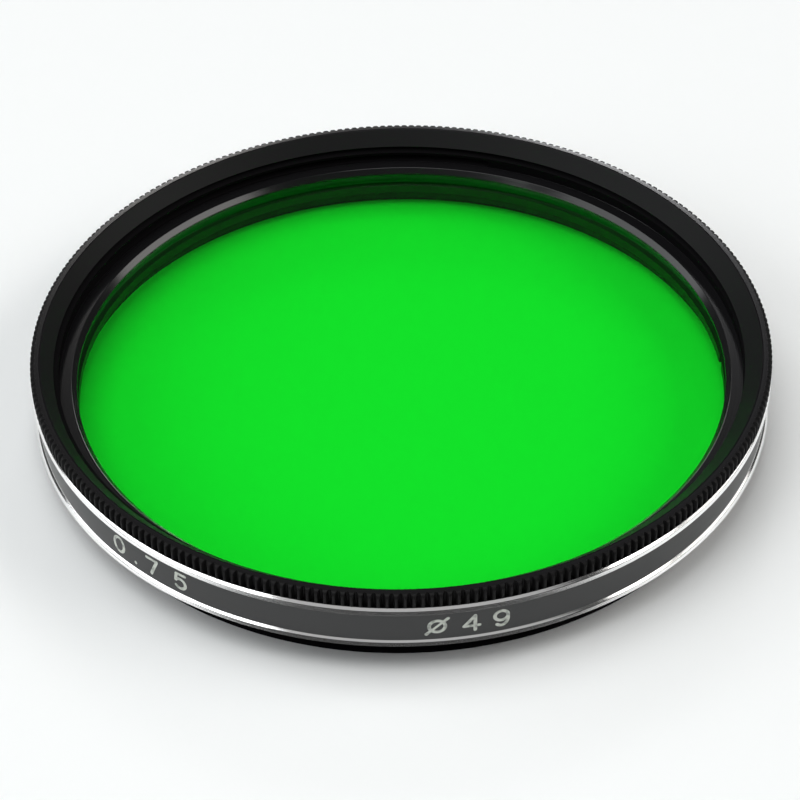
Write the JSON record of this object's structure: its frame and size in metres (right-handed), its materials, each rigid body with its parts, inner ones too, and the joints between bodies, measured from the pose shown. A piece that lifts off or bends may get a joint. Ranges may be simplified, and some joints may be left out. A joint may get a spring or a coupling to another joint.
{
  "type": "colour lens filter",
  "caption": "Green screw-in colour filter: glass disc in a turned ring with knurled front rim, grey band, front female thread and rear male thread.",
  "frame": {"origin": "on the optical axis, in the plane of the rear face", "axes": "+Z along the optical axis, out of the front of the filter; the retaining ring's gap is 3 degrees from +X"},
  "size_m": [0.052, 0.052, 0.0067],
  "materials": {
    "black_ring": "turned aluminium, black anodised, satin",
    "green_glass": "dyed through the mass, ground and polished",
    "spring_ring": "blackened spring steel, matt",
    "band_paint": "dark grey satin enamel in the ring's shallow band",
    "bright_cut": "bare metal, diamond cut, polished",
    "white_fill": "white enamel in engraved characters"
  },
  "bodies": {
    "root": {"filter_ring": "black_ring", "colour_glass": "green_glass", "retaining_ring": "spring_ring"}
  },
  "joints": []
}
